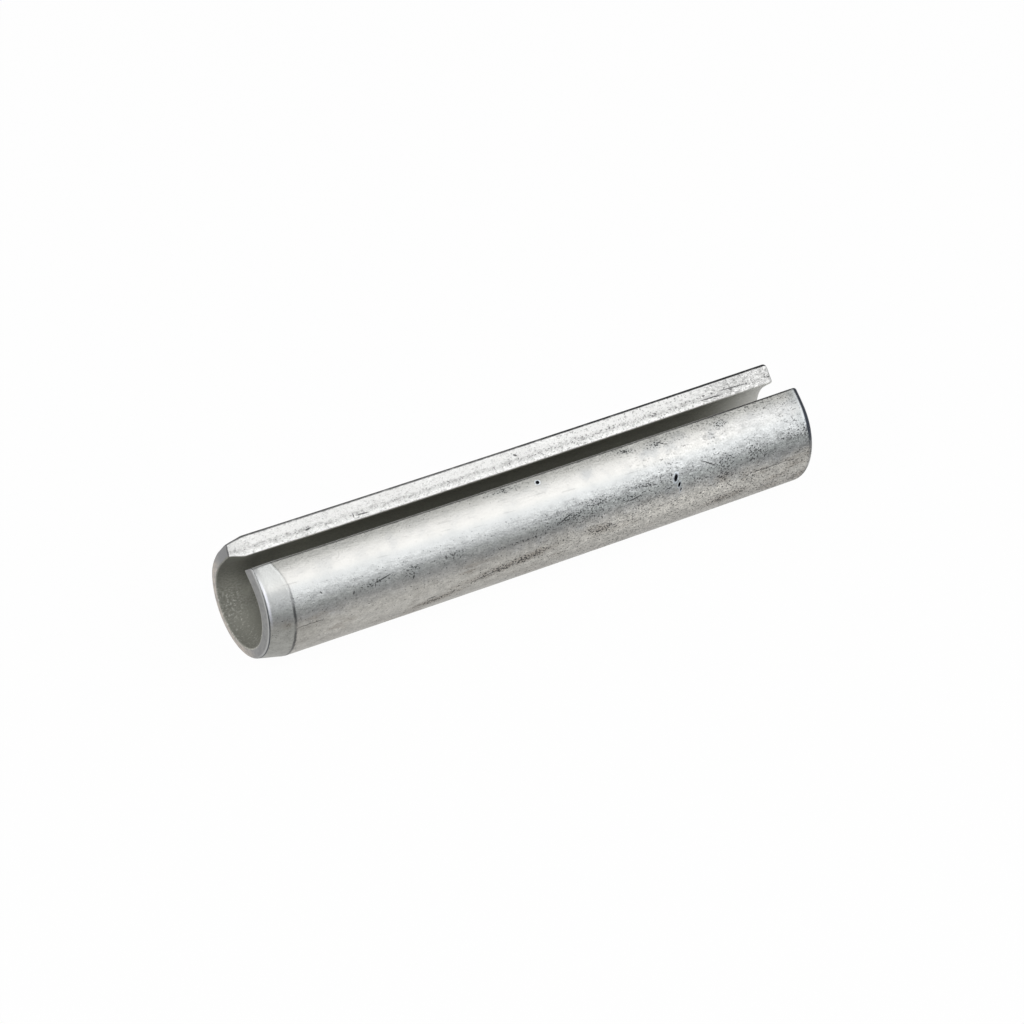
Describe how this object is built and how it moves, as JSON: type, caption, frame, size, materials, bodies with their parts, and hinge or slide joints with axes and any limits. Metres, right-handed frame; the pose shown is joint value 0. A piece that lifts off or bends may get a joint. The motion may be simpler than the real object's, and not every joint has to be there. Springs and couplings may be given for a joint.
{
  "type": "slotted spring pin",
  "caption": "Slotted spring pin: a zinc-plated strip of spring steel rolled into an open tube with a tapered nose, driven into a drilled hole to hold parts together.",
  "frame": {"origin": "on the axis of the rolled wall, halfway along the pin", "axes": "+X along the pin from the tapered nose to the plain end, +Z through the middle of the slot"},
  "size_m": [0.045, 0.0086, 0.0082],
  "materials": {
    "zinc_plated_steel": "satin zinc plating with scratches, pits and stains"
  },
  "bodies": {
    "root": {"spring_pin": "zinc_plated_steel"}
  },
  "joints": []
}
